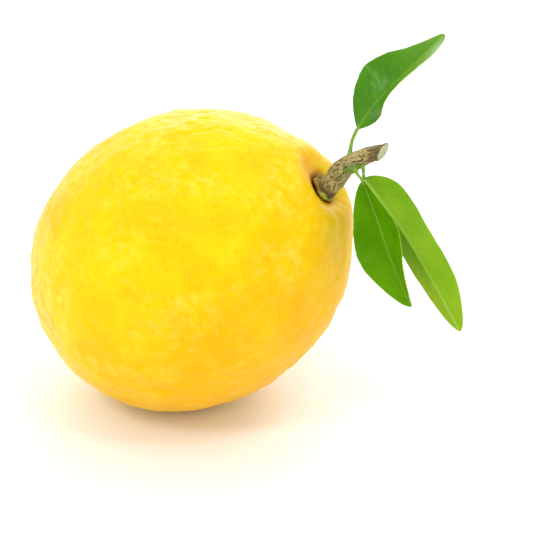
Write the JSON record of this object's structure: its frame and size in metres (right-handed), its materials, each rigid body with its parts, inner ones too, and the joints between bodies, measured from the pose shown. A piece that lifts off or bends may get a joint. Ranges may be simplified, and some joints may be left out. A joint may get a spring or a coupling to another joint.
{
  "type": "lemon",
  "caption": "Whole ripe lemon lying on a small flat spot, with its calyx, a short woody twig and leaves on stalks.",
  "frame": {"origin": "centre of the flat spot under the fruit", "axes": "-Z is the way the flat spot faces; +X is the way the fruit's stem end points, seen from above, and the longest extent; the fruit's long axis lies in the XZ plane"},
  "size_m": [0.0986, 0.066, 0.086],
  "materials": {
    "peel": "waxy yellow rind with fine oil pores, satin",
    "calyx_green": "dry olive-green button, matt",
    "bark": "ridged grey-brown bark with a pale cut end, matt",
    "shoot_green": "smooth young green wood, satin",
    "stalk_green": "light yellow-green leaf stalk, satin",
    "leaf_green": "waxy green leaf with lighter veins, paler and duller underneath, satin"
  },
  "bodies": {
    "root": {"fruit": "peel", "calyx": "calyx_green", "twig": "bark", "side_shoot": "shoot_green", "stalk_upper": "stalk_green", "stalk_front": "stalk_green", "stalk_back": "stalk_green", "leaf_upper": "leaf_green", "leaf_front": "leaf_green", "leaf_back": "leaf_green"}
  },
  "joints": []
}
